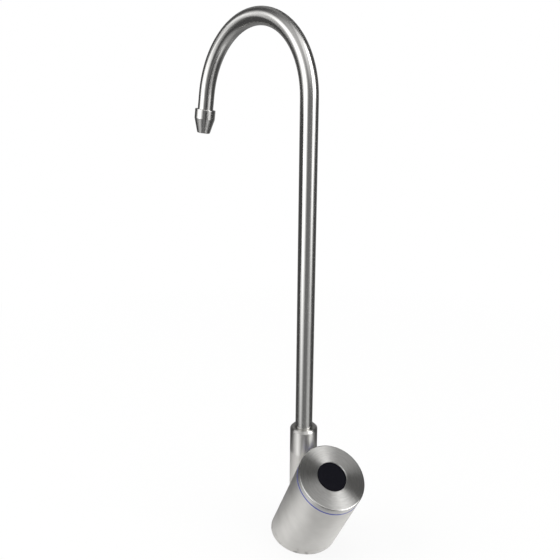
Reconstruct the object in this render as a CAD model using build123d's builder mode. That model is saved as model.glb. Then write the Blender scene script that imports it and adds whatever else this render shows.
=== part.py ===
from build123d import *
from math import copysign, cos, radians, sin, sqrt, tan
import os

# Glass filler faucet, in millimetres, +Z up. The origin is where the stem's axis meets the deck.
# The barrel leans towards +X, where the user stands, and the spout reaches back over -X.

# Clearances, all radial or along an axis
running_clearance = 0.05
seat_clearance = 0.05
joint_clearance = 0.05
slip_clearance = 0.15
point_clearance = 0.35

# Stem
stem_r = 10.25
stem_height = 86.1
stem_edge = 1.4
mouth_chamfer = 0.5
waterway_r = 4.0
socket_r = 7.5
socket_depth = 14.0
filter_r = 6.2
filter_thickness = 1.6
filter_rim = 1.2
filter_hole_r = 0.55
filter_pitch = 1.9

# Swan-neck tube
tube_r = 6.35
tube_wall = 1.0
tube_entry = 20.0
straight_rise = 236.9
arch_r = 61.6
arch_turn = 168.8
outlet_run = 12.1
spout_heading = 190.3

# Swivel spigot in the stem
spigot_neck = 8.0
spigot_length = 20.5
seal_section_r = 0.72
seal_groove_width = 1.9
seal_depth = 4.0
seal_spacing = 4.0
groove_height = 8.0
groove_depth = 0.95
washer_thickness = 0.8

# Grub screw at the back of the stem
grub_r = 1.9
grub_point_r = 1.3
grub_hex = 2.0
grub_hex_depth = 1.8
grub_sink = 0.2

# Nozzle
nozzle_r = 8.4
nozzle_band = 7.6
nozzle_cone = 11.8
nozzle_tip_r = 5.25
nozzle_top_round = 0.5
nozzle_tip_round = 0.5
nozzle_socket = 10.0
outlet_r = 3.8
outlet_lip = 2.0
nozzle_seal_section_r = 0.5
nozzle_seal_depth = 4.0
straightener_r = 4.5
straightener_thickness = 4.0
straightener_cell_r = 0.68
straightener_pitch = 1.62

# Barrel, measured along its own axis from the deck
barrel_r = 24.15
barrel_wall = 3.0
barrel_rise = 62.0
ring_gap = 2.3
barrel_length = 74.0
sleeve_wall = 2.5
sleeve_foot = 20.0
boss_r = 3.8
boss_height = 11.0
boss_edge = 0.5
front_boss_angle = 57.0
rear_boss_angle = 125.0

# Cap, ring and window
cap_height = 4.6
cap_edge = 0.7
ring_thickness = 1.0
skirt_wall = 2.5
stem_gap = 1.0
cap_seal_section_r = 0.7
cap_seal_depth = 4.6
window_r = 10.6
window_mouth = 0.4
window_sink = 0.6
window_edge = 0.25
window_flange = 2.5
window_flange_thickness = 2.4
lip_thickness = 3.5
window_seal_section_r = 0.5

# Sensor behind the window
housing_r = 13.2
housing_wall = 1.8
housing_spigot = 2.0
housing_flange_thickness = 2.0
board_drop = 11.5
board_thickness = 1.6
board_ledge = 1.4
baffle_thickness = 1.2
cover_depth = 2.9
cover_wall = 1.2
retainer_height = 3.0
retainer_slot = 3.0
retainer_slot_depth = 1.5
diode_r = 2.5
diode_length = 7.4
diode_flange = 0.4
diode_flange_thickness = 1.0
diode_spacing = 10.0
bush_r = 2.4
bush_flange = 0.9
bush_bore_r = 1.4
bush_height = 3.2

# Base plate and what is in it
plate_thickness = 5.0
screw_r = 1.6
screw_head_r = 3.6
screw_sink = 0.4
screw_grip = 6.0
screw_hex = 2.5
screw_hex_depth = 1.5
plate_hole_r = 2.2
tapped_depth = 8.0
grommet_r = 2.6
grommet_flange = 0.9
grommet_flange_thickness = 1.2
grommet_bore_r = 1.6
gasket_width = 1.3
gasket_thickness = 1.2

# Directions and levels that follow from the sizes above
barrel_lean = Vector(cos(radians(barrel_rise)), 0, sin(radians(barrel_rise)))
barrel_down = Vector(sin(radians(barrel_rise)), 0, -cos(radians(barrel_rise)))
cap_base = barrel_length - cap_height
barrel_rim = cap_base - ring_thickness
barrel_offset = stem_r + ring_gap + barrel_r * barrel_lean.Z - barrel_rim * barrel_lean.X
barrel_foot = Vector(barrel_offset, 0, 0)
barrel_axis = Axis(barrel_foot, barrel_lean)
barrel_bore_r = barrel_r - barrel_wall
foot_run = barrel_r / tan(radians(barrel_rise)) + barrel_wall

skirt_r = barrel_bore_r - slip_clearance
skirt_bore_r = skirt_r - skirt_wall
skirt_foot = (stem_r + stem_gap + skirt_r * barrel_lean.Z - barrel_offset) / barrel_lean.X
lip_back = barrel_length - lip_thickness
housing_front = lip_back - window_flange_thickness - 2 * seat_clearance
flange_seat = housing_front - housing_spigot
window_bore_r = housing_r + slip_clearance
window_hole_r = window_r + slip_clearance

head_level = screw_sink + seat_clearance
sink_r = screw_head_r + head_level + seat_clearance
plate_front = barrel_offset + (barrel_bore_r - slip_clearance) / barrel_lean.Z
boss_circle_r = barrel_bore_r - slip_clearance - sink_r - boss_edge
grommet_x = (stem_r + slip_clearance + plate_front) / 2

bore_r = tube_r + running_clearance
tube_bore_r = tube_r - tube_wall
tube_foot = stem_height - tube_entry
spigot_foot = tube_foot - spigot_length
washer_seat = spigot_foot - running_clearance - washer_thickness
groove_level = spigot_foot + groove_height

spout_plane = Plane(
    origin=(0, 0, 0),
    x_dir=(cos(radians(spout_heading)), sin(radians(spout_heading)), 0),
    z_dir=(sin(radians(spout_heading)), -cos(radians(spout_heading)), 0),
)
spring_level = stem_height + straight_rise
arch_end_x = arch_r * (1 - cos(radians(arch_turn)))
arch_end_z = spring_level + arch_r * sin(radians(arch_turn))
outlet_x = sin(radians(arch_turn))
outlet_z = cos(radians(arch_turn))
nozzle_x = arch_end_x + outlet_run * outlet_x
nozzle_z = arch_end_z + outlet_run * outlet_z
nozzle_length = nozzle_band + nozzle_cone
nozzle_top = spout_plane.from_local_coords(Vector(nozzle_x, nozzle_z, 0))
outlet_way = spout_plane.x_dir * outlet_x + Vector(0, 0, 1) * outlet_z
outlet_across = spout_plane.x_dir * -outlet_z + Vector(0, 0, 1) * outlet_x
outlet_axis = Axis(nozzle_top, outlet_way)


def section_plane(origin, along, across):
    """Plane of a half section: x runs outwards from the axis and y along it."""
    return Plane(origin=origin, x_dir=across, z_dir=across.cross(along))


def barrel_plane(level):
    """Plane square to the barrel's axis, this far along it from the deck."""
    return Plane(origin=barrel_foot + barrel_lean * level, x_dir=(0, 1, 0), z_dir=barrel_lean)


barrel_section = section_plane(barrel_foot, barrel_lean, barrel_down)
nozzle_section = section_plane(nozzle_top, outlet_way, outlet_across)


def seal_ring(section, axis, centre_r, level, section_r):
    """Rubber ring of round section about an axis."""
    with BuildPart() as ring:
        with BuildSketch(section):
            with Locations((centre_r, level)):
                Circle(section_r)
        revolve(axis=axis)
    return ring.part


def level_slice(outer_r, inner_r, top):
    """Slice of the leaning barrel between the deck and a level above it."""
    with BuildPart() as piece:
        with BuildSketch(barrel_plane(-foot_run)):
            Circle(outer_r)
            if inner_r > 0:
                Circle(inner_r, mode=Mode.SUBTRACT)
        extrude(amount=2 * foot_run + top / barrel_lean.Z)
        split(bisect_by=Plane.XY, keep=Keep.TOP)
        split(bisect_by=Plane.XY.offset(top), keep=Keep.BOTTOM)
    return piece.part


def write_step(part, name):
    """Label a finished piece and write its file."""
    part.label = name
    export_step(part, f"parts/{name}.step")


os.makedirs("parts", exist_ok=True)


def hex_spots(pitch, rings):
    """Centres of a hexagonal pattern, one cell and the rings round it."""
    spots = []
    for row in range(-rings, rings + 1):
        for step in range(max(-rings, -row - rings), min(rings, rings - row) + 1):
            spots.append((pitch * (step + row / 2), pitch * row * sqrt(3) / 2))
    return spots


# Stem: turned bar with the swivel bore above, the waterway, and the supply socket below
filter_roof = socket_depth + filter_thickness
with BuildPart() as stem:
    with BuildSketch(Plane.XZ):
        with BuildLine():
            Polyline(
                (socket_r, 0),
                (stem_r, 0),
                (stem_r, stem_height - stem_edge),
                (stem_r - stem_edge, stem_height),
                (bore_r + mouth_chamfer, stem_height),
                (bore_r, stem_height - mouth_chamfer),
                (bore_r, washer_seat),
                (waterway_r, washer_seat),
                (waterway_r, filter_roof),
                (filter_r + seat_clearance, filter_roof),
                (filter_r + seat_clearance, socket_depth),
                (socket_r, socket_depth),
                close=True,
            )
        make_face()
    revolve(axis=Axis.Z)
    with BuildSketch(Plane.YZ.offset(-stem_r - stem_edge)):
        with Locations((0, groove_level)):
            Circle(grub_r + running_clearance)
    extrude(amount=stem_r, mode=Mode.SUBTRACT)
write_step(stem.part, "stem")

# Strainer over the supply socket: a rimmed disc with a pattern of holes
with BuildPart() as inlet_filter:
    with BuildSketch(Plane.XY.offset(socket_depth)):
        Circle(filter_r)
    extrude(amount=filter_thickness - seat_clearance)
    with BuildSketch(Plane.XY.offset(socket_depth)):
        Circle(filter_r - filter_rim)
    extrude(amount=filter_thickness / 2, mode=Mode.SUBTRACT)
    with BuildSketch(Plane.XY.offset(socket_depth)):
        with Locations(*hex_spots(filter_pitch, 2)):
            Circle(filter_hole_r)
    extrude(amount=filter_thickness, mode=Mode.SUBTRACT)
write_step(inlet_filter.part, "inlet_filter")

# Washer that the spigot turns on
with BuildPart() as thrust_washer:
    with BuildSketch(Plane.XY.offset(washer_seat)):
        Circle(bore_r - seat_clearance)
        Circle(waterway_r + seat_clearance, mode=Mode.SUBTRACT)
    extrude(amount=washer_thickness)
write_step(thrust_washer.part, "thrust_washer")

# Grub screw with a point in the spigot's groove and a hex socket behind
grub_tail = stem_r - grub_sink
grub_shoulder = bore_r + running_clearance
groove_floor = tube_r - groove_depth
grub_tip = groove_floor + point_clearance
grub_plane = Plane(origin=(0, 0, groove_level), x_dir=(0, 1, 0), z_dir=(-1, 0, 0))
with BuildPart() as retaining_screw:
    with BuildSketch(grub_plane.offset(grub_shoulder)):
        Circle(grub_r)
    extrude(amount=grub_tail - grub_shoulder)
    with BuildSketch(grub_plane.offset(grub_tip)):
        Circle(grub_point_r)
    extrude(amount=grub_shoulder - grub_tip)
    with BuildSketch(grub_plane.offset(grub_tail)):
        RegularPolygon(grub_hex / 2, 6, major_radius=False)
    extrude(amount=-grub_hex_depth, mode=Mode.SUBTRACT)
write_step(retaining_screw.part, "retaining_screw")

# Swan-neck tube: foot in the stem, straight rise, arch, and a run into the nozzle
tube_end_x = nozzle_x + (nozzle_socket - seat_clearance) * outlet_x
tube_end_z = nozzle_z + (nozzle_socket - seat_clearance) * outlet_z
with BuildPart() as spout_tube:
    with BuildLine(spout_plane):
        Line((0, tube_foot), (0, spring_level))
        CenterArc((arch_r, spring_level), arch_r, 180, -arch_turn)
        Line((arch_end_x, arch_end_z), (tube_end_x, tube_end_z))
    with BuildSketch(Plane.XY.offset(tube_foot)):
        Circle(tube_r)
        Circle(tube_bore_r, mode=Mode.SUBTRACT)
    sweep()
write_step(spout_tube.part, "spout_tube")

# Swivel spigot, brazed into the tube's foot: neck, two seal grooves, retaining groove
spigot_top = tube_foot + spigot_neck
seal_floor = bore_r - 2 * seal_section_r - running_clearance
upper_seal = tube_foot - seal_depth
lower_seal = upper_seal - seal_spacing
half_seal = seal_groove_width / 2
half_groove = grub_point_r + point_clearance
with BuildPart() as swivel_spigot:
    with BuildSketch(Plane.XZ):
        with BuildLine():
            Polyline(
                (waterway_r, spigot_foot),
                (tube_r, spigot_foot),
                (tube_r, groove_level - half_groove),
                (groove_floor, groove_level - half_groove),
                (groove_floor, groove_level + half_groove),
                (tube_r, groove_level + half_groove),
                (tube_r, lower_seal - half_seal),
                (seal_floor, lower_seal - half_seal),
                (seal_floor, lower_seal + half_seal),
                (tube_r, lower_seal + half_seal),
                (tube_r, upper_seal - half_seal),
                (seal_floor, upper_seal - half_seal),
                (seal_floor, upper_seal + half_seal),
                (tube_r, upper_seal + half_seal),
                (tube_r, tube_foot),
                (tube_bore_r - joint_clearance, tube_foot),
                (tube_bore_r - joint_clearance, spigot_top),
                (waterway_r, spigot_top),
                close=True,
            )
        make_face()
    revolve(axis=Axis.Z)
write_step(swivel_spigot.part, "swivel_spigot")

stem_section = section_plane(Vector(0, 0, 0), Vector(0, 0, 1), Vector(1, 0, 0))
seal_centre = bore_r - running_clearance / 2 - seal_section_r
for name, level in [("spigot_oring_upper", upper_seal), ("spigot_oring_lower", lower_seal)]:
    write_step(seal_ring(stem_section, Axis.Z, seal_centre, level, seal_section_r), name)

# Nozzle, turned: rounded top edge, band, cone and lip, with a socket for the tube inside
nozzle_bore_r = tube_r + joint_clearance
nozzle_seal_floor = nozzle_bore_r + 2 * nozzle_seal_section_r
half_nozzle_seal = nozzle_seal_section_r + seat_clearance
straightener_seat = nozzle_length - outlet_lip
with BuildPart() as nozzle:
    with BuildSketch(nozzle_section):
        with BuildLine():
            Polyline(
                (nozzle_bore_r, 0),
                (nozzle_r, 0),
                (nozzle_r, nozzle_band),
                (nozzle_tip_r, nozzle_length),
                (outlet_r, nozzle_length),
                (outlet_r, straightener_seat),
                (straightener_r + seat_clearance, straightener_seat),
                (straightener_r + seat_clearance, nozzle_socket),
                (nozzle_bore_r, nozzle_socket),
                (nozzle_bore_r, nozzle_seal_depth + half_nozzle_seal),
                (nozzle_seal_floor, nozzle_seal_depth + half_nozzle_seal),
                (nozzle_seal_floor, nozzle_seal_depth - half_nozzle_seal),
                (nozzle_bore_r, nozzle_seal_depth - half_nozzle_seal),
                close=True,
            )
        make_face()
    revolve(axis=outlet_axis)
    rims = nozzle.edges().filter_by(GeomType.CIRCLE)
    fillet(rims.group_by(SortBy.RADIUS)[-1].sort_by(outlet_axis)[0], nozzle_top_round)
    rims = nozzle.edges().filter_by(GeomType.CIRCLE)
    fillet(rims.group_by(outlet_axis)[-1].sort_by(SortBy.RADIUS)[-1], nozzle_tip_round)
write_step(nozzle.part, "nozzle")

nozzle_seal = seal_ring(
    nozzle_section, outlet_axis, nozzle_bore_r + nozzle_seal_section_r, nozzle_seal_depth,
    nozzle_seal_section_r,
)
write_step(nozzle_seal, "nozzle_oring")

# Flow straightener: a disc of hexagonal cells on the ledge over the outlet
cell_plane = Plane(
    origin=nozzle_top + outlet_way * (straightener_seat - straightener_thickness),
    x_dir=outlet_across,
    z_dir=outlet_way,
)
with BuildPart() as flow_straightener:
    with BuildSketch(cell_plane):
        Circle(straightener_r)
        with Locations(*hex_spots(straightener_pitch, 2)):
            RegularPolygon(straightener_cell_r, 6, mode=Mode.SUBTRACT)
    extrude(amount=straightener_thickness)
write_step(flow_straightener.part, "flow_straightener")

# Barrel: cast shell about the leaning axis, with the stem's sleeve and four screw bosses,
# bored for the cap and the stem, and cut level at the deck
groove_outer_r = barrel_r - (barrel_wall - gasket_width) / 2
groove_inner_r = groove_outer_r - gasket_width
gasket_groove = level_slice(groove_outer_r, groove_inner_r, gasket_thickness)
boss_spots = []
for angle in (front_boss_angle, rear_boss_angle):
    boss_x = barrel_offset + boss_circle_r * cos(radians(angle)) / barrel_lean.Z
    boss_y = boss_circle_r * sin(radians(angle))
    boss_spots += [(boss_x, boss_y), (boss_x, -boss_y)]
with BuildPart() as barrel_body:
    with BuildSketch(barrel_plane(-foot_run)):
        Circle(barrel_r)
        Circle(barrel_bore_r, mode=Mode.SUBTRACT)
    extrude(amount=foot_run + barrel_rim)
    with BuildSketch(Plane.XY.offset(sleeve_foot)):
        Circle(stem_r + sleeve_wall)
    extrude(amount=stem_height - sleeve_foot)
    with BuildSketch(Plane.XY.offset(plate_thickness)):
        for boss_x, boss_y in boss_spots:
            with Locations((boss_x, boss_y)):
                Circle(boss_r)
            with Locations((boss_x, (boss_y + copysign(barrel_r, boss_y)) / 2)):
                Rectangle(2 * boss_r, barrel_r - abs(boss_y))
    extrude(amount=boss_height)
    with BuildSketch(barrel_plane(-foot_run)):
        Circle(barrel_r)
    extrude(amount=foot_run + barrel_rim, mode=Mode.INTERSECT)
    with BuildSketch(barrel_plane(skirt_foot - seat_clearance)):
        Circle(barrel_bore_r)
    extrude(amount=barrel_rim, mode=Mode.SUBTRACT)
    with BuildSketch(Plane.XY):
        Circle(stem_r + joint_clearance)
    extrude(amount=stem_height, mode=Mode.SUBTRACT)
    with BuildSketch(Plane.XY.offset(plate_thickness)):
        with Locations(*boss_spots):
            Circle(screw_r + seat_clearance)
    extrude(amount=tapped_depth, mode=Mode.SUBTRACT)
    add(gasket_groove, mode=Mode.SUBTRACT)
    split(bisect_by=Plane.XY, keep=Keep.TOP)
write_step(barrel_body.part, "barrel_body")

# Gasket in the groove of the barrel's foot, flush with the deck
gasket = level_slice(
    groove_outer_r - seat_clearance, groove_inner_r + seat_clearance,
    gasket_thickness - seat_clearance,
)
write_step(gasket, "deck_gasket")

# Base plate that closes the level mouth, with the stem's hole, screw holes and cable hole
plate_outline = level_slice(barrel_bore_r - slip_clearance, 0, plate_thickness)
grommet_land = grommet_flange_thickness + seat_clearance
with BuildPart() as base_plate:
    add(plate_outline)
    with BuildSketch(Plane.XY):
        Circle(stem_r + slip_clearance)
    extrude(amount=plate_thickness, mode=Mode.SUBTRACT)
    with BuildSketch(Plane.XY):
        with Locations((grommet_x, 0)):
            Circle(grommet_r + grommet_flange + seat_clearance)
    extrude(amount=grommet_land, mode=Mode.SUBTRACT)
    with BuildSketch(Plane.XY):
        with Locations((grommet_x, 0)):
            Circle(grommet_r + seat_clearance)
    extrude(amount=plate_thickness, mode=Mode.SUBTRACT)
    under_side = Plane(origin=(0, 0, 0), x_dir=(1, 0, 0), z_dir=(0, 0, -1))
    with Locations(*[under_side * Pos(x, -y, 0) for x, y in boss_spots]):
        CounterSinkHole(plate_hole_r, sink_r, counter_sink_angle=90)
write_step(base_plate.part, "base_plate")

# Four countersunk screws from below into the barrel's bosses
with BuildPart() as screw:
    with BuildSketch(Plane.XZ):
        with BuildLine():
            Polyline(
                (0, head_level),
                (screw_head_r, head_level),
                (screw_r, head_level + screw_head_r - screw_r),
                (screw_r, plate_thickness + screw_grip),
                (0, plate_thickness + screw_grip),
                close=True,
            )
        make_face()
    revolve(axis=Axis.Z)
    with BuildSketch(Plane.XY.offset(head_level)):
        RegularPolygon(screw_hex / 2, 6, major_radius=False)
    extrude(amount=screw_hex_depth, mode=Mode.SUBTRACT)
with BuildPart() as base_screws:
    with Locations(*boss_spots):
        add(screw.part)
write_step(base_screws.part, "base_screws")

# Rubber grommet in the base plate's cable hole
flange_r = grommet_r + grommet_flange
with BuildPart() as cable_grommet:
    with BuildSketch(Plane.XZ):
        with BuildLine():
            Polyline(
                (grommet_x + grommet_bore_r, 0),
                (grommet_x + flange_r, 0),
                (grommet_x + flange_r, grommet_flange_thickness),
                (grommet_x + grommet_r, grommet_flange_thickness),
                (grommet_x + grommet_r, plate_thickness + seat_clearance),
                (grommet_x + flange_r, plate_thickness + seat_clearance),
                (grommet_x + flange_r, plate_thickness + grommet_land),
                (grommet_x + grommet_bore_r, plate_thickness + grommet_land),
                close=True,
            )
        make_face()
    revolve(axis=Axis((grommet_x, 0, 0), (0, 0, 1)))
write_step(cable_grommet.part, "cable_grommet")

# Blue marker ring between the barrel's rim and the cap
with BuildPart() as blue_ring:
    with BuildSketch(barrel_plane(barrel_rim)):
        Circle(barrel_r)
        Circle(barrel_bore_r, mode=Mode.SUBTRACT)
    extrude(amount=ring_thickness)
write_step(blue_ring.part, "blue_ring")

# Cap, turned: rounded edge, chamfered window opening, seat for the window, skirt with a seal groove
cap_seal_floor = barrel_bore_r - seat_clearance - 2 * cap_seal_section_r
cap_seal = cap_base - cap_seal_depth
half_cap_seal = cap_seal_section_r + 2 * seat_clearance
window_seal_r = window_hole_r + 2.5 * window_seal_section_r
half_window_seal = 1.5 * window_seal_section_r
window_seal_floor = lip_back + 2 * window_seal_section_r
with BuildPart() as cap:
    with BuildSketch(barrel_section):
        with BuildLine():
            Polyline(
                (window_hole_r, lip_back),
                (window_hole_r, barrel_length - window_mouth),
                (window_hole_r + window_mouth, barrel_length),
                (barrel_r, barrel_length),
                (barrel_r, cap_base),
                (skirt_r, cap_base),
                (skirt_r, cap_seal + half_cap_seal),
                (cap_seal_floor, cap_seal + half_cap_seal),
                (cap_seal_floor, cap_seal - half_cap_seal),
                (skirt_r, cap_seal - half_cap_seal),
                (skirt_r, skirt_foot),
                (skirt_bore_r, skirt_foot),
                (skirt_bore_r, flange_seat),
                (window_bore_r, flange_seat),
                (window_bore_r, lip_back),
                (window_seal_r + half_window_seal, lip_back),
                (window_seal_r + half_window_seal, window_seal_floor),
                (window_seal_r - half_window_seal, window_seal_floor),
                (window_seal_r - half_window_seal, lip_back),
                close=True,
            )
        make_face()
    revolve(axis=barrel_axis)
    rims = cap.edges().filter_by(GeomType.CIRCLE).group_by(SortBy.RADIUS)[-1]
    fillet(rims.sort_by(barrel_axis)[-1], cap_edge)
write_step(cap.part, "cap")

cap_seal_centre = cap_seal_floor + cap_seal_section_r + seat_clearance / 2
cap_oring = seal_ring(barrel_section, barrel_axis, cap_seal_centre, cap_seal, cap_seal_section_r)
write_step(cap_oring, "cap_oring")

# Window: dark disc, sunk in the cap's opening, with a flange behind the lip
flange_front = lip_back - seat_clearance
window_back = flange_front - window_flange_thickness
window_front = barrel_length - window_sink
with BuildPart() as sensor_window:
    with BuildSketch(barrel_section):
        with BuildLine():
            Polyline(
                (0, window_back),
                (window_r + window_flange, window_back),
                (window_r + window_flange, flange_front),
                (window_r, flange_front),
                (window_r, window_front - window_edge),
                (window_r - window_edge, window_front),
                (0, window_front),
                close=True,
            )
        make_face()
    revolve(axis=barrel_axis)
write_step(sensor_window.part, "sensor_window")

window_seal = seal_ring(
    barrel_section, barrel_axis, window_seal_r, lip_back + window_seal_section_r - seat_clearance / 2,
    window_seal_section_r,
)
write_step(window_seal, "window_oring")

# Sensor housing: cup with a flange in the cap, a ledge for the board and a baffle in the middle
housing_bore_r = housing_r - housing_wall
board_seat = housing_front - board_drop + board_ledge
board_back = board_seat - seat_clearance - board_thickness
cover_back = board_back - cover_depth
flange_back = flange_seat - seat_clearance - housing_flange_thickness
with BuildPart() as sensor_housing:
    with BuildSketch(barrel_section):
        with BuildLine():
            Polyline(
                (housing_bore_r, housing_front),
                (housing_r, housing_front),
                (housing_r, flange_seat - seat_clearance),
                (skirt_bore_r - slip_clearance, flange_seat - seat_clearance),
                (skirt_bore_r - slip_clearance, flange_back),
                (housing_r, flange_back),
                (housing_r, cover_back),
                (housing_bore_r, cover_back),
                (housing_bore_r, board_seat),
                (housing_bore_r - board_ledge, board_seat),
                (housing_bore_r - board_ledge, board_seat + board_ledge),
                (housing_bore_r, board_seat + board_ledge),
                close=True,
            )
        make_face()
    revolve(axis=barrel_axis)
    with BuildSketch(barrel_plane(board_seat + board_ledge)):
        Rectangle(baffle_thickness, 2 * housing_bore_r + housing_wall)
    extrude(amount=housing_front - board_seat - board_ledge)
write_step(sensor_housing.part, "sensor_housing")

# Circuit board against the ledge, with holes for the legs of the two diodes
board_r = housing_bore_r - slip_clearance
diode_spots = [(diode_spacing / 2, 0), (-diode_spacing / 2, 0)]
with BuildPart() as sensor_board:
    with BuildSketch(barrel_plane(board_back)):
        Circle(board_r)
        with Locations(*diode_spots):
            with Locations((0, diode_r / 2), (0, -diode_r / 2)):
                Circle(diode_flange, mode=Mode.SUBTRACT)
    extrude(amount=board_thickness)
write_step(sensor_board.part, "sensor_board")

# Infrared emitter and receiver: flanged bodies with domed ends, one each side of the baffle
diode_foot = board_back + board_thickness + seat_clearance
for name, spot in zip(("ir_emitter", "ir_receiver"), diode_spots):
    with BuildPart() as diode:
        with BuildSketch(barrel_plane(diode_foot)):
            with Locations(spot):
                Circle(diode_r + diode_flange)
        extrude(amount=diode_flange_thickness)
        with BuildSketch(barrel_plane(diode_foot)):
            with Locations(spot):
                Circle(diode_r)
        extrude(amount=diode_length - diode_r)
        with Locations(barrel_plane(diode_foot + diode_length - diode_r)):
            with Locations(spot):
                Sphere(diode_r)
    write_step(diode.part, name)

# Rear cover: shallow cup that closes the housing behind the board, with a hole for the bush
cover_r = housing_bore_r - slip_clearance
with BuildPart() as sensor_rear_cover:
    with BuildSketch(barrel_plane(cover_back)):
        Circle(cover_r)
    extrude(amount=cover_depth - seat_clearance)
    with BuildSketch(barrel_plane(cover_back + cover_wall)):
        Circle(cover_r - cover_wall)
    extrude(amount=cover_depth, mode=Mode.SUBTRACT)
    with BuildSketch(barrel_plane(cover_back)):
        Circle(bush_r + seat_clearance)
    extrude(amount=cover_wall, mode=Mode.SUBTRACT)
write_step(sensor_rear_cover.part, "sensor_rear_cover")

# Rubber bush in the rear cover, where the lead enters
bush_top = cover_back + cover_wall + seat_clearance
bush_foot = bush_top + bush_flange / 2 - bush_height
with BuildPart() as cable_bush:
    with BuildSketch(barrel_section):
        with BuildLine():
            Polyline(
                (bush_bore_r, bush_foot),
                (bush_r + bush_flange, bush_foot),
                (bush_r + bush_flange, cover_back - seat_clearance),
                (bush_r, cover_back - seat_clearance),
                (bush_r, bush_top),
                (bush_r + bush_flange / 2, bush_top),
                (bush_r + bush_flange / 2, bush_top + bush_flange / 2),
                (bush_bore_r, bush_top + bush_flange / 2),
                close=True,
            )
        make_face()
    revolve(axis=barrel_axis)
write_step(cable_bush.part, "cable_bush")

# Retaining ring below the housing's flange, with four slots for a spanner
retainer_top = flange_back - seat_clearance
with BuildPart() as sensor_retainer:
    with BuildSketch(barrel_plane(retainer_top)):
        Circle(skirt_bore_r - slip_clearance)
        Circle(housing_r + slip_clearance, mode=Mode.SUBTRACT)
    extrude(amount=-retainer_height)
    with BuildSketch(barrel_plane(retainer_top - retainer_height)):
        Rectangle(2 * skirt_bore_r, retainer_slot)
        Rectangle(retainer_slot, 2 * skirt_bore_r)
    extrude(amount=retainer_slot_depth, mode=Mode.SUBTRACT)
write_step(sensor_retainer.part, "sensor_retainer")
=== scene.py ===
from math import cos, radians, sin

import bmesh
import bpy
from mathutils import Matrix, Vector


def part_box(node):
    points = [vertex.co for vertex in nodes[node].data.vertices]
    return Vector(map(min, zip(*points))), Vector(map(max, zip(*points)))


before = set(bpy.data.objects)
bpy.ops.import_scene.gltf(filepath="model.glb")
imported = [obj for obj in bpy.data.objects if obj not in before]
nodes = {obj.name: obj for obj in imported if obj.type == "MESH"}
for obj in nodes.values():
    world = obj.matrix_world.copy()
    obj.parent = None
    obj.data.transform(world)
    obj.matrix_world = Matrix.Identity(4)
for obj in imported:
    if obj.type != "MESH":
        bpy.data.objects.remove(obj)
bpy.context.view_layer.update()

# Barrel: the leaning housing, a stainless steel casting that is blasted and then brushed round its
# own axis. The stem stands in its back, and a plate closes its level foot from below.
barrel_rise = radians(62)
barrel_way = (cos(barrel_rise), 0, sin(barrel_rise))
barrel_foot = (0.00176, 0, 0)
barrel_colour = (0.60, 0.59, 0.57, 1)
# The darker colour serves both the random cloudy tone and the painted shade near the foot.
barrel_stain_and_shade = (0.26, 0.25, 0.24, 1)
barrel_gloss = (0.44, 0.52)
barrel_brushing = 0.75
barrel_line = 0.0006
barrel_relief = 0.000006
blast_grain = 0.0005
cloud_size = 0.012
cloud_stain = 0.11
cloud_gloss = 0.03
# Painted shade: the lowest 7 mm darken in spots, where the barrel stands on the counter.
foot_shade_height = 0.007
foot_shade_spot = 0.005
foot_shade_range = (0.5, 0.66)
quarter_turn = 0.25


def new_material(name):
    """Material with an empty node tree and the socket that its surface goes to."""
    material = bpy.data.materials.new(name)
    material.use_nodes = True
    tree = material.node_tree
    tree.nodes.clear()
    surface = tree.nodes.new("ShaderNodeOutputMaterial").inputs["Surface"]
    return material, tree, surface


def new_finish(name, colour=(1, 1, 1, 1), metallic=0.0):
    """Material with a principled shader, ready for a section to build on."""
    material, tree, surface = new_material(name)
    shader = tree.nodes.new("ShaderNodeBsdfPrincipled")
    shader.inputs["Base Color"].default_value = colour
    shader.inputs["Metallic"].default_value = metallic
    tree.links.new(shader.outputs[0], surface)
    return material, tree, shader


def set_input(tree, socket, value):
    """Feed a socket from another one, or give it a plain value."""
    if isinstance(value, bpy.types.NodeSocket):
        tree.links.new(value, socket)
    else:
        socket.default_value = value


def sum_of(tree, operation, *values):
    """Math node on numbers."""
    step = tree.nodes.new("ShaderNodeMath")
    step.operation = operation
    for socket, value in zip(step.inputs, values):
        set_input(tree, socket, value)
    return step.outputs[0]


def vector_of(tree, operation, *vectors, scale=None):
    """Vector Math node on directions and places."""
    step = tree.nodes.new("ShaderNodeVectorMath")
    step.operation = operation
    for socket, value in zip(step.inputs, vectors):
        set_input(tree, socket, value)
    if scale is not None:
        set_input(tree, step.inputs["Scale"], scale)
    return step.outputs["Value" if operation in ("DOT_PRODUCT", "LENGTH") else "Vector"]


def coordinate(tree, place, axis):
    """One of a place's three coordinates."""
    split = tree.nodes.new("ShaderNodeSeparateXYZ")
    tree.links.new(place, split.inputs[0])
    return split.outputs[axis]


def ramp(tree, value, low, high, start=0.35, end=0.65):
    """Spread a texture's middle values, or any range, between two levels."""
    step = tree.nodes.new("ShaderNodeMapRange")
    step.inputs["From Min"].default_value = start
    step.inputs["From Max"].default_value = end
    step.inputs["To Min"].default_value = low
    step.inputs["To Max"].default_value = high
    set_input(tree, step.inputs["Value"], value)
    return step.outputs[0]


def speckle(tree, place, size, detail=2.0):
    """Noise whose spots are about this large, in metres, at a place in metres."""
    noise = tree.nodes.new("ShaderNodeTexNoise")
    noise.inputs["Scale"].default_value = 1 / size
    noise.inputs["Detail"].default_value = detail
    set_input(tree, noise.inputs["Vector"], place)
    return noise.outputs["Fac"]


def stain(tree, shader, share, clean, stained):
    """Colour of a surface, between two others."""
    step = tree.nodes.new("ShaderNodeMix")
    step.data_type = "RGBA"
    set_input(tree, step.inputs[0], share)
    set_input(tree, step.inputs[6], clean)
    set_input(tree, step.inputs[7], stained)
    tree.links.new(step.outputs[2], shader.inputs["Base Color"])


def polish(tree, shader, texture, gloss):
    """Roughness of a surface, which follows a texture between two levels."""
    tree.links.new(ramp(tree, texture, *gloss), shader.inputs["Roughness"])


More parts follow.
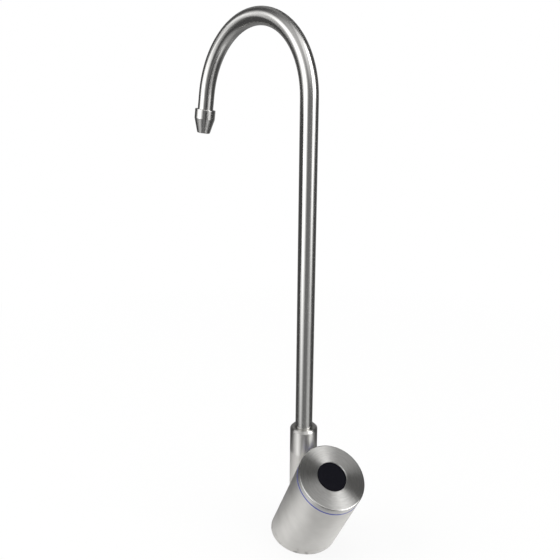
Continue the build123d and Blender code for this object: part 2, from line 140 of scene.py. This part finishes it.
def press(tree, shader, height, depth):
    """Relief of a surface, where a height of one stands as far out as this, in metres."""
    bump = tree.nodes.new("ShaderNodeBump")
    bump.inputs["Distance"].default_value = depth
    tree.links.new(height, bump.inputs["Height"])
    tree.links.new(bump.outputs[0], shader.inputs["Normal"])


def object_place(tree):
    """Place of a point in the piece, in metres."""
    return tree.nodes.new("ShaderNodeTexCoord").outputs["Object"]


def from_axis(tree, foot, way):
    """How a point lies to an axis: the vector from it, the distance from it, the length along it."""
    arm = vector_of(tree, "SUBTRACT", object_place(tree), foot)
    radial = vector_of(tree, "SUBTRACT", arm, vector_of(tree, "PROJECT", arm, way))
    return radial, vector_of(tree, "LENGTH", radial), vector_of(tree, "DOT_PRODUCT", arm, way)


def lay_tangent(tree, shader, direction):
    """Tangent of a brushed surface, from a direction in the piece."""
    turn = tree.nodes.new("ShaderNodeVectorTransform")
    turn.vector_type = "VECTOR"
    turn.convert_from, turn.convert_to = "OBJECT", "WORLD"
    tree.links.new(direction, turn.inputs[0])
    tree.links.new(turn.outputs[0], shader.inputs["Tangent"])


def turned_lines(tree, shader, foot, way, line, brushing, sweep=1.5):
    """Finish whose fine lines run round an axis, as a lathe or a brush leaves them: the noise is
    line wide across and long round the axis, and the gloss spreads across the lines."""
    radial, away, along = from_axis(tree, foot, way)
    outwards = vector_of(tree, "NORMALIZE", radial)
    lay_tangent(tree, shader, vector_of(tree, "CROSS_PRODUCT", way, outwards))
    shader.inputs["Anisotropic"].default_value = brushing
    shader.inputs["Anisotropic Rotation"].default_value = quarter_turn
    across = sum_of(tree, "DIVIDE", sum_of(tree, "ADD", away, along), line)
    streak = vector_of(tree, "ADD", vector_of(tree, "SCALE", way, scale=across),
                       vector_of(tree, "SCALE", outwards, scale=sweep))
    return speckle(tree, streak, 1.0, detail=3.0)


def dress(material, *names):
    """Give CAD nodes their finished material."""
    for name in names:
        nodes[name].data.materials[0] = material


satin_casting, tree, shader = new_finish("satin_casting", metallic=1.0)
lines = turned_lines(tree, shader, barrel_foot, barrel_way, barrel_line, barrel_brushing)
place = object_place(tree)
# Painted shade at the foot, broken into spots, mixed with the cloudy tone that the casting has all over.
near_foot = ramp(tree, coordinate(tree, place, "Z"), 1.0, 0.0, 0.0, foot_shade_height)
spots = ramp(tree, speckle(tree, place, foot_shade_spot, detail=4.0), 0.0, 1.0, *foot_shade_range)
painted_foot_shade = sum_of(tree, "MULTIPLY", near_foot, spots)
cloud = speckle(tree, place, cloud_size, detail=3.0)
cloud_and_foot_shade = sum_of(tree, "MAXIMUM", painted_foot_shade, ramp(tree, cloud, 0.0, cloud_stain))
stain(tree, shader, cloud_and_foot_shade, barrel_colour, barrel_stain_and_shade)
uneven = ramp(tree, cloud, -cloud_gloss, cloud_gloss)
tree.links.new(sum_of(tree, "ADD", uneven, ramp(tree, lines, *barrel_gloss)), shader.inputs["Roughness"])
press(tree, shader, sum_of(tree, "ADD", lines, speckle(tree, place, blast_grain)), barrel_relief)
dress(satin_casting, "barrel_body")

# Stem: stainless bar, turned, bored and finely brushed round its axis, brazed into the barrel's
# sleeve. It is polished above a line and satin below it, and the supply's thread is cut in its foot.
stem_foot = (0, 0, 0)
upright = (0, 0, 1)
stem_colour = (0.64, 0.63, 0.61, 1)
stem_gloss = (0.28, 0.34)
stem_satin = 0.60
stem_brushing = 0.96
stem_line = 0.0004
stem_relief = 0.0000008
polish_level = 0.0673
polish_edge = 0.0002
thread_reach = 0.0079
thread_top = 0.0135
thread_pitch = 0.00134
thread_over_lines = 600.0  # how much deeper the thread is than the brushed lines

turned_stem, tree, shader = new_finish("turned_stem", stem_colour, metallic=1.0)
lines = turned_lines(tree, shader, stem_foot, upright, stem_line, stem_brushing)
place = object_place(tree)
level = coordinate(tree, place, "Z")
polished = ramp(tree, level, 0.0, 1.0, polish_level - polish_edge, polish_level + polish_edge)
gloss = sum_of(tree, "SUBTRACT", ramp(tree, lines, *stem_gloss), stem_satin)
tree.links.new(sum_of(tree, "MULTIPLY_ADD", polished, gloss, stem_satin), shader.inputs["Roughness"])
tree.links.new(sum_of(tree, "MULTIPLY", polished, stem_brushing), shader.inputs["Anisotropic"])
flat = vector_of(tree, "MULTIPLY", place, (1, 1, 0))
inside = sum_of(tree, "LESS_THAN", vector_of(tree, "LENGTH", flat), thread_reach)
threaded = sum_of(tree, "MULTIPLY", inside, sum_of(tree, "LESS_THAN", level, thread_top))
tooth = sum_of(tree, "DIVIDE", sum_of(tree, "PINGPONG", level, thread_pitch / 2), thread_pitch)
thread = sum_of(tree, "MULTIPLY", threaded, tooth)
press(tree, shader, sum_of(tree, "MULTIPLY_ADD", thread, thread_over_lines, lines), stem_relief)
dress(turned_stem, "stem")

# Swan-neck tube: stainless tube, 12.7 mm outside, bent in one arch and polished by a belt whose fine
# lines run round it. Its foot is brazed to the spigot, and the nozzle is pushed over its end.
tube_colour = (0.64, 0.635, 0.62, 1)
tube_gloss = (0.18, 0.20)
tube_brushing = 0.7
tube_line = 0.0004
tube_line_length = 0.006
tube_relief = 0.0000002
smear_size = 0.02
smear_gloss = 0.015
spout_heading = radians(190.3)
arch_r = 0.0616
spring_level = 0.323

heading = (cos(spout_heading), sin(spout_heading), 0)
spout_side = (sin(spout_heading), -cos(spout_heading), 0)
arch_centre = (arch_r * heading[0], arch_r * heading[1], spring_level)

polished_tube, tree, shader = new_finish("polished_tube", tube_colour, metallic=1.0)
shader.inputs["Anisotropic"].default_value = tube_brushing
place = object_place(tree)
arm = vector_of(tree, "SUBTRACT", place, arch_centre)
sideways = vector_of(tree, "DOT_PRODUCT", arm, spout_side)
reach = vector_of(tree, "DOT_PRODUCT", arm, heading)
level = vector_of(tree, "DOT_PRODUCT", arm, upright)
rise = sum_of(tree, "MAXIMUM", level, 0.0)
drop = sum_of(tree, "MINIMUM", level, 0.0)
turned = sum_of(tree, "ARCTAN2", rise, sum_of(tree, "MULTIPLY", reach, -1.0))
run = sum_of(tree, "ADD", sum_of(tree, "MULTIPLY", turned, arch_r), drop)
out = vector_of(tree, "ADD", vector_of(tree, "SCALE", heading, scale=reach),
                vector_of(tree, "SCALE", upright, scale=rise))
tube_way = vector_of(tree, "CROSS_PRODUCT", out, spout_side)
lay_tangent(tree, shader, vector_of(tree, "NORMALIZE", tube_way))
streak = tree.nodes.new("ShaderNodeCombineXYZ")
tree.links.new(sum_of(tree, "DIVIDE", run, tube_line), streak.inputs[0])
tree.links.new(sum_of(tree, "DIVIDE", sideways, tube_line_length), streak.inputs[1])
lines = speckle(tree, streak.outputs[0], 1.0, detail=3.0)
smears = ramp(tree, speckle(tree, place, smear_size), -smear_gloss, smear_gloss)
tree.links.new(sum_of(tree, "ADD", ramp(tree, lines, *tube_gloss), smears), shader.inputs["Roughness"])
press(tree, shader, lines, tube_relief)
dress(polished_tube, "spout_tube")

# Nozzle and swivel spigot: turned from stainless bar, with the fine lines of the lathe. The nozzle
# sits on the tube's end over a seal, and the spigot turns in the stem on two more.
turned_colour = (0.63, 0.625, 0.61, 1)
turned_relief = 0.0000003
nozzle_finish = {"line": 0.0005, "brushing": 0.8, "gloss": (0.22, 0.26)}
spigot_finish = {"line": 0.0005, "brushing": 0.5, "gloss": (0.22, 0.32)}
nozzle_tilt = radians(168.8)
nozzle_way = (heading[0] * sin(nozzle_tilt), heading[1] * sin(nozzle_tilt), cos(nozzle_tilt))
nozzle_low, nozzle_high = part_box("nozzle")
nozzle_middle = [(low + high) / 2 for low, high in zip(nozzle_low, nozzle_high)]


def turned_steel(name, foot, way, line, brushing, gloss):
    """Stainless steel as it comes from the lathe."""
    material, tree, shader = new_finish(name, turned_colour, metallic=1.0)
    lines = turned_lines(tree, shader, foot, way, line, brushing)
    polish(tree, shader, lines, gloss)
    press(tree, shader, lines, turned_relief)
    return material


dress(turned_steel("turned_nozzle", nozzle_middle, nozzle_way, **nozzle_finish), "nozzle")
dress(turned_steel("turned_spigot", stem_foot, upright, **spigot_finish), "swivel_spigot")

# Inlet filter: punched stainless strainer that lies over the supply in the stem's foot and keeps
# grit out of the waterway. It is dull from pickling.
filter_finish = {"line": 0.0008, "brushing": 0.2, "gloss": (0.30, 0.40)}

dress(turned_steel("strainer_steel", stem_foot, upright, **filter_finish), "inlet_filter")

# Flow straightener and thrust washer: moulded honeycomb and plain ring, both white acetal. The
# straightener sits in the nozzle, and the spigot turns on the washer.
acetal_white = (0.78, 0.78, 0.75, 1)
acetal_shade = (0.70, 0.70, 0.66, 1)
acetal_shading = 0.5
acetal_gloss = (0.38, 0.48)
acetal_mottle = 0.002
acetal_grain = 0.0003
acetal_relief = 0.000004

white_acetal, tree, shader = new_finish("white_acetal")
place = object_place(tree)
mottle = speckle(tree, place, acetal_mottle)
stain(tree, shader, ramp(tree, mottle, 0.0, acetal_shading), acetal_white, acetal_shade)
polish(tree, shader, mottle, acetal_gloss)
press(tree, shader, speckle(tree, place, acetal_grain), acetal_relief)
dress(white_acetal, "flow_straightener", "thrust_washer")

# Seals, gasket, grommet and bush: black rubber with the dull bloom and fine grain of a moulding.
# Each is pushed into its own groove or hole.
rubber_black = (0.018, 0.018, 0.019, 1)
rubber_bloom = (0.045, 0.045, 0.047, 1)
rubber_gloss = (0.55, 0.72)
rubber_grain = 0.00035
rubber_relief = 0.00001
bloom_size = 0.003

black_rubber, tree, shader = new_finish("black_rubber_moulding")
place = object_place(tree)
bloom = speckle(tree, place, bloom_size, detail=4.0)
stain(tree, shader, ramp(tree, bloom, 0.0, 1.0), rubber_black, rubber_bloom)
polish(tree, shader, bloom, rubber_gloss)
press(tree, shader, speckle(tree, place, rubber_grain, detail=3.0), rubber_relief)
dress(black_rubber, "spigot_oring_upper", "spigot_oring_lower", "nozzle_oring", "cap_oring",
      "window_oring", "deck_gasket", "cable_grommet", "cable_bush")

# Screws: hardened stainless with hexagon sockets. The four in the base stand upright, and the grub
# screw lies across the stem with a plain point, so each kind has its own threaded stretch.
screw_colour = (0.50, 0.50, 0.49, 1)
screw_gloss = (0.28, 0.42)
screw_cloud = 0.001
screw_pitch = 0.0007
screw_relief = 0.5  # share of the tooth's own height
threaded_stretches = {
    "base_screws": ("Z", 0.0025, 0.02),
    "retaining_screw": ("X", -0.02, -0.0068),
}

for name, (axis, start, end) in threaded_stretches.items():
    screw_steel, tree, shader = new_finish(f"{name}_stainless", screw_colour, metallic=1.0)
    place = object_place(tree)
    polish(tree, shader, speckle(tree, place, screw_cloud, detail=3.0), screw_gloss)
    run = coordinate(tree, place, axis)
    threaded = sum_of(tree, "MULTIPLY", sum_of(tree, "GREATER_THAN", run, start),
                      sum_of(tree, "LESS_THAN", run, end))
    tooth = sum_of(tree, "PINGPONG", run, screw_pitch / 2)
    press(tree, shader, sum_of(tree, "MULTIPLY", threaded, tooth), screw_relief)
    dress(screw_steel, name)

# Base plate: stainless plate, milled flat below in wide passes and countersunk for its four screws.
# It closes the barrel's foot round the stem and carries the grommet of the sensor's lead.
plate_colour = (0.60, 0.59, 0.57, 1)
plate_gloss = (0.34, 0.44)
plate_grain = 0.0004
plate_relief = 0.000008
mill_step = 0.0016  # length in which the wave of the passes turns by one radian
mill_waver = 0.6
wave_angle = 20  # radians that the wave texture turns in one unit

milled_plate, tree, shader = new_finish("milled_plate", plate_colour, metallic=1.0)
place = object_place(tree)
mill = tree.nodes.new("ShaderNodeTexWave")
mill.inputs["Scale"].default_value = 1 / (wave_angle * mill_step)
mill.inputs["Distortion"].default_value = mill_waver
mill.inputs["Detail"].default_value = 2.0
tree.links.new(place, mill.inputs["Vector"])
passes = mill.outputs["Fac"]
tree.links.new(ramp(tree, passes, *plate_gloss, 0.0, 1.0), shader.inputs["Roughness"])
press(tree, shader, sum_of(tree, "ADD", passes, speckle(tree, place, plate_grain)), plate_relief)
dress(milled_plate, "base_plate")

# Cap: stainless, turned in one piece and brushed in circles on its face. Its skirt pushes into the
# barrel over a seal, and its edge is rounded and polished.
cap_colour = (0.56, 0.555, 0.54, 1)
cap_shade = (0.48, 0.475, 0.46, 1)
cap_gloss = (0.34, 0.42)
cap_edge_gloss = 0.16
cap_brushing = 0.96
cap_line = 0.0009
cap_sweep = 4.0
cap_relief = 0.00005
cap_r = 0.02415
cap_top = 0.074
cap_edge = 0.0007
cap_edge_blend = 0.2
cap_mouth_r = 0.01105

brushed_cap, tree, shader = new_finish("brushed_cap", metallic=1.0)
lines = turned_lines(tree, shader, barrel_foot, barrel_way, cap_line, cap_brushing, cap_sweep)
_, away, along = from_axis(tree, barrel_foot, barrel_way)
edge_start = cap_r + cap_top - cap_edge
edge_end = edge_start + cap_edge_blend * cap_edge
outer = ramp(tree, sum_of(tree, "ADD", away, along), 1.0, 0.0, edge_start, edge_end)
face = sum_of(tree, "MULTIPLY", outer, sum_of(tree, "GREATER_THAN", away, cap_mouth_r))
shading = sum_of(tree, "MULTIPLY", face, ramp(tree, lines, 0.0, 1.0))
stain(tree, shader, shading, cap_colour, cap_shade)
brushed = sum_of(tree, "SUBTRACT", ramp(tree, lines, *cap_gloss), cap_edge_gloss)
tree.links.new(sum_of(tree, "MULTIPLY_ADD", outer, brushed, cap_edge_gloss), shader.inputs["Roughness"])
tree.links.new(sum_of(tree, "MULTIPLY", face, cap_brushing), shader.inputs["Anisotropic"])
press(tree, shader, sum_of(tree, "MULTIPLY", face, lines), cap_relief)
dress(brushed_cap, "cap")

# Marker ring: a flat ring of blue acrylic, 1 mm thick, held between the cap and the barrel's rim.
# Only its edge shows, and that is matt.
ring_blue = (0.003, 0.030, 0.42, 1)
ring_deep = (0.002, 0.020, 0.32, 1)
ring_gloss = (0.45, 0.55)
ring_shine = 0.1
ring_tint = 0.004
ring_grain = 0.0008

blue_acrylic, tree, shader = new_finish("blue_acrylic")
shader.inputs["Specular IOR Level"].default_value = ring_shine
place = object_place(tree)
stain(tree, shader, ramp(tree, speckle(tree, place, ring_tint), 0.0, 1.0), ring_blue, ring_deep)
polish(tree, shader, speckle(tree, place, ring_grain), ring_gloss)
dress(blue_acrylic, "blue_ring")

# Sensor window: dark acrylic that lets infrared through, sunk in the cap's opening. It is glossy,
# with a little dust and the faint haze of wiping.
window_black = (0.006, 0.006, 0.009, 1)
window_dust = (0.020, 0.020, 0.024, 1)
window_gloss = (0.06, 0.16)
window_shine = 0.3
dust_size = 0.0006
dust_range = (0.62, 0.8)
haze_size = 0.006

dark_acrylic, tree, shader = new_finish("dark_acrylic")
shader.inputs["Specular IOR Level"].default_value = window_shine
place = object_place(tree)
dust = ramp(tree, speckle(tree, place, dust_size, detail=4.0), 0.0, 1.0, *dust_range)
stain(tree, shader, dust, window_black, window_dust)
polish(tree, shader, speckle(tree, place, haze_size, detail=3.0), window_gloss)
dress(dark_acrylic, "sensor_window")

# Sensor behind the window: black moulded housing, rear cover and slotted ring, in fine-grained
# plastic as it leaves the mould.
plastic_black = (0.022, 0.022, 0.023, 1)
plastic_gloss = (0.42, 0.55)
plastic_cloud = 0.004
plastic_grain = 0.0003
plastic_relief = 0.000015

black_moulding, tree, shader = new_finish("black_moulding", plastic_black)
place = object_place(tree)
polish(tree, shader, speckle(tree, place, plastic_cloud, detail=3.0), plastic_gloss)
press(tree, shader, speckle(tree, place, plastic_grain), plastic_relief)
dress(black_moulding, "sensor_housing", "sensor_rear_cover", "sensor_retainer")

# Circuit board: a disc of glass laminate under green lacquer, with copper tracks that show through
# it. The diodes' legs are soldered into its holes.
lacquer_green = (0.015, 0.13, 0.05, 1)
track_green = (0.05, 0.26, 0.10, 1)
lacquer_gloss = (0.18, 0.30)
lacquer_cloud = 0.002
track_pitch = 0.0016
track_width = 0.03  # in the brick texture's own unit
track_relief = 0.00003
brick_row = 0.25  # height of a row in the same unit

board_lacquer, tree, shader = new_finish("board_lacquer")
place = object_place(tree)
bricks = tree.nodes.new("ShaderNodeTexBrick")
bricks.inputs["Scale"].default_value = brick_row / track_pitch
bricks.inputs["Mortar Size"].default_value = track_width
tree.links.new(place, bricks.inputs["Vector"])
tracks = bricks.outputs["Fac"]
stain(tree, shader, tracks, lacquer_green, track_green)
polish(tree, shader, speckle(tree, place, lacquer_cloud), lacquer_gloss)
press(tree, shader, tracks, track_relief)
dress(board_lacquer, "sensor_board")

# Emitter and receiver: infrared diodes in moulded resin, one water clear and one dark. They stand
# on the board and look out through the window.
resin_index = 1.52
resin_gloss = (0.04, 0.12)
resin_haze = 0.0015
resins = {
    "ir_emitter": ((0.55, 0.60, 0.66, 1), 0.75),
    "ir_receiver": ((0.015, 0.014, 0.020, 1), 0.0),
}

for name, (colour, clearness) in resins.items():
    resin, tree, shader = new_finish(f"{name}_resin", colour)
    shader.inputs["Transmission Weight"].default_value = clearness
    shader.inputs["IOR"].default_value = resin_index
    polish(tree, shader, speckle(tree, object_place(tree), resin_haze), resin_gloss)
    dress(resin, name)

# Counter: a pale flat top that keeps a soft shadow. What the camera sees of it is mostly its own
# whiteness, so that it stays as pale as the wall behind it. Steel sees only the part near the faucet.
counter_reach = 4.0
counter_colour = (0.86, 0.86, 0.85, 1)
counter_glow = (0.86, 1.0)
counter_fade = (0.15, 0.80)
counter_in_steel = 0.80
steel_reach = (0.098, 0.104)


def stage_object(name, bm, material):
    """A bmesh as an object of the studio, with one material."""
    mesh = bpy.data.meshes.new(name)
    bm.to_mesh(mesh)
    bm.free()
    mesh.materials.append(material)
    piece = bpy.data.objects.new(name, mesh)
    bpy.context.scene.collection.objects.link(piece)
    return piece


def ray_kinds(tree):
    """Whether the camera sees this, directly or through clear resin, and whether a gloss mirrors it."""
    path = tree.nodes.new("ShaderNodeLightPath")
    seen = sum_of(tree, "MAXIMUM", path.outputs["Is Camera Ray"], path.outputs["Is Transmission Ray"])
    return seen, path.outputs["Is Glossy Ray"]


def mix_shaders(tree, share, first, second):
    """Shader between two others."""
    step = tree.nodes.new("ShaderNodeMixShader")
    for socket, value in zip(step.inputs, (share, first.outputs[0], second.outputs[0])):
        tree.links.new(value, socket)
    return step


counter_white, tree, surface = new_material("counter_white")
matt = tree.nodes.new("ShaderNodeBsdfDiffuse")
matt.inputs["Color"].default_value = counter_colour
glow = tree.nodes.new("ShaderNodeEmission")
clear = tree.nodes.new("ShaderNodeBsdfTransparent")
seen, in_steel = ray_kinds(tree)
away = vector_of(tree, "LENGTH", object_place(tree))
whiteness = sum_of(tree, "MULTIPLY", seen, ramp(tree, away, *counter_glow, *counter_fade))
mirrored = sum_of(tree, "MULTIPLY", in_steel, counter_in_steel)
lit = mix_shaders(tree, sum_of(tree, "MAXIMUM", whiteness, mirrored), matt, glow)
beyond = sum_of(tree, "MULTIPLY", in_steel, ramp(tree, away, 0.0, 1.0, *steel_reach))
tree.links.new(mix_shaders(tree, beyond, lit, clear).outputs[0], surface)

bm = bmesh.new()
bmesh.ops.create_grid(bm, x_segments=1, y_segments=1, size=counter_reach)
stage_object("counter", bm, counter_white)

# Wall and soft boxes: the wall is plain white to the camera and through clear resin, and lights the
# parts evenly. Steel mirrors the studio round the faucet instead: pale soft boxes, with grey and
# dark between them, which draw its lines.
wall_light = 0.55
camera_side = -34.24  # the camera's bearing, in degrees from the way the barrel leans
studio_dark = 0.08

# Each box: bearings from and to, in degrees to the right of the camera, and the softness of its
# sides, heights from and to over level, and the softness of its foot and top, and its strength.
soft_boxes = {
    "left": (-93, -40, 15, 15, 40, 10, 2.5),
    "left_low": (-68, -29, 20, -20, 35, 20, 3.0),
    "left_edge": (-87, -60, 7, -14, 9, 7, 1.7),
    "left_foot": (-125, -15, 5, -90, -70, 12, 0.45),
    "right": (47, 84, 8, 6, 58, 11, 4.5),
    "right_low": (45, 78, 8, -15, 43, 11, 1.75),
    "right_foot": (25, 78, 15, -90, -3, 24, 0.6),
    "front": (-20, 50, 8, -70, 64, 7, 0.2),
    "front_above": (-5, 86, 12, 32, 90, 26, 1.3),
    "left_above": (-83, 73, 27, 25, 90, 28, 0.65),
    "above": (-180, 180, 3, 66, 90, 14, 0.3),
    "below": (-180, 180, 3, -90, -60, 16, 0.5),
    "behind_right": (140, 180, 17, -90, 44, 26, 0.3),
    "behind_left": (-180, -148, 28, -90, 75, 7, 0.4),
}


def within(tree, value, low, high, edge):
    """One between two levels, falling off softly over an edge on both sides."""
    first = ramp(tree, value, 0.0, 1.0, low - edge, low + edge)
    last = ramp(tree, value, 1.0, 0.0, high - edge, high + edge)
    return sum_of(tree, "MULTIPLY", first, last)


world = bpy.data.worlds.new("white_wall")
bpy.context.scene.world = world
world.cycles.sampling_method = "NONE"
world.use_nodes = True
tree = world.node_tree
tree.nodes.clear()
way = tree.nodes.new("ShaderNodeTexCoord").outputs["Generated"]
ahead = (cos(radians(camera_side)), sin(radians(camera_side)), 0)
right = (-ahead[1], ahead[0], 0)
to_right = vector_of(tree, "DOT_PRODUCT", way, right)
to_camera = vector_of(tree, "DOT_PRODUCT", way, ahead)
bearing = sum_of(tree, "DEGREES", sum_of(tree, "ARCTAN2", to_right, to_camera))
height = sum_of(tree, "DEGREES", sum_of(tree, "ARCSINE", coordinate(tree, way, "Z")))
studio = studio_dark
for start, end, side_edge, low, high, edge, strength in soft_boxes.values():
    across = within(tree, bearing, start, end, side_edge)
    upwards = within(tree, height, low, high, edge)
    box = sum_of(tree, "MULTIPLY", across, upwards)
    studio = sum_of(tree, "MAXIMUM", studio, sum_of(tree, "MULTIPLY", box, strength))
seen, in_steel = ray_kinds(tree)
plain = sum_of(tree, "MAXIMUM", seen, wall_light)
shown = sum_of(tree, "MULTIPLY_ADD", in_steel, sum_of(tree, "SUBTRACT", studio, plain), plain)
background = tree.nodes.new("ShaderNodeBackground")
background.inputs["Color"].default_value = (1, 1, 1, 1)
tree.links.new(shown, background.inputs["Strength"])
output = tree.nodes.new("ShaderNodeOutputWorld")
tree.links.new(background.outputs[0], output.inputs[0])

# Dark card: a narrow dark card that stands 60 mm from the straight tube and faces it. Only steel
# and gloss mirror it, and it keeps the dark line down the tube's outer edge, as in a studio.
dark_place = (-0.043, -0.042, 0.230)
dark_facing = (-dark_place[0], -dark_place[1], 0)
dark_corners = [(0.026, -0.10), (-0.028, -0.10), (-0.028, -0.050), (-0.037, -0.03), (-0.041, 0.0),
                (-0.041, 0.085), (-0.025, 0.105), (0.026, 0.105)]


def steel_card(name, corners, place, facing, material):
    """A flat card of the studio with these corners, turned this way, that only a gloss mirrors."""
    bm = bmesh.new()
    bm.faces.new([bm.verts.new((x, y, 0)) for x, y in corners])
    card = stage_object(name, bm, material)
    card.location = place
    card.rotation_euler = Vector(facing).to_track_quat("Z", "Y").to_euler()
    card.visible_camera = False
    card.visible_diffuse = False
    card.visible_transmission = False
    card.visible_shadow = False


side_dark, tree, surface = new_material("side_dark")
glow = tree.nodes.new("ShaderNodeEmission")
glow.inputs["Strength"].default_value = studio_dark
tree.links.new(glow.outputs[0], surface)
steel_card("side_card", dark_corners, dark_place, dark_facing, side_dark)

# Bright card: a small pale card with soft edges, to the left of the arch, that only steel and gloss
# mirror. It adds its light to the studio behind it and widens the white line on the arch's outer leg.
bright_place = (-0.137, -0.099, 0.409)
bright_facing = (0.672, 0.740, 0)
bright_side = 0.022
bright_rise = 0.040
bright_corners = [(bright_side, -bright_rise), (bright_side, bright_rise),
                  (-bright_side, bright_rise), (-bright_side, -bright_rise)]
bright_fade = (0.3, 1.0)
bright_strength = 1.2

card_light, tree, surface = new_material("card_light")
share_out = vector_of(tree, "DIVIDE", object_place(tree), (bright_side, bright_rise, 1))
away = vector_of(tree, "LENGTH", share_out)
glow = tree.nodes.new("ShaderNodeEmission")
tree.links.new(ramp(tree, away, bright_strength, 0.0, *bright_fade), glow.inputs["Strength"])
clear = tree.nodes.new("ShaderNodeBsdfTransparent")
added = tree.nodes.new("ShaderNodeAddShader")
tree.links.new(glow.outputs[0], added.inputs[0])
tree.links.new(clear.outputs[0], added.inputs[1])
tree.links.new(added.outputs[0], surface)
steel_card("bright_card", bright_corners, bright_place, bright_facing, card_light)

# Lamps: three large soft boxes, to the left, to the right and above. They throw the soft shadow and
# light what isn't metal, and steel doesn't mirror them. Each has a place, a size and a power.
lamp_aim = (0, 0, 0.15)
lamps = {
    "lamp_left": ((-0.5, -1.1, 1.1), 1.0, 9.0),
    "lamp_right": ((1.1, 0.6, 1.0), 1.0, 6.0),
    "lamp_above": ((0.1, 0.1, 1.6), 1.2, 9.0),
}

for name, (place, size, power) in lamps.items():
    lamp = bpy.data.objects.new(name, bpy.data.lights.new(name, "AREA"))
    bpy.context.scene.collection.objects.link(lamp)
    lamp.location = place
    lamp.rotation_euler = (Vector(lamp_aim) - Vector(place)).to_track_quat("-Z", "Y").to_euler()
    lamp.data.size = size
    lamp.data.energy = power
    lamp.visible_glossy = False

# Camera: it stands in front of the faucet and a little to its right, above the cap, and looks
# back over the barrel at the swan neck. Its frame is set off-centre by the lens shift.
camera_place = (0.28195, -0.19188, 0.28270)
camera_turn = (79.4225, -1.0400, 55.5895)
film_width = 36
focal_length = 31.70
frame_shift = (-0.0534, -0.0494)
nearest_view = 0.01

camera = bpy.data.objects.new("camera", bpy.data.cameras.new("camera"))
bpy.context.scene.collection.objects.link(camera)
bpy.context.scene.camera = camera
camera.location = camera_place
camera.rotation_euler = [radians(turn) for turn in camera_turn]
camera.data.sensor_width = film_width
camera.data.lens = focal_length
camera.data.shift_x, camera.data.shift_y = frame_shift
camera.data.clip_start = nearest_view
bpy.context.scene.view_settings.view_transform = "Standard"
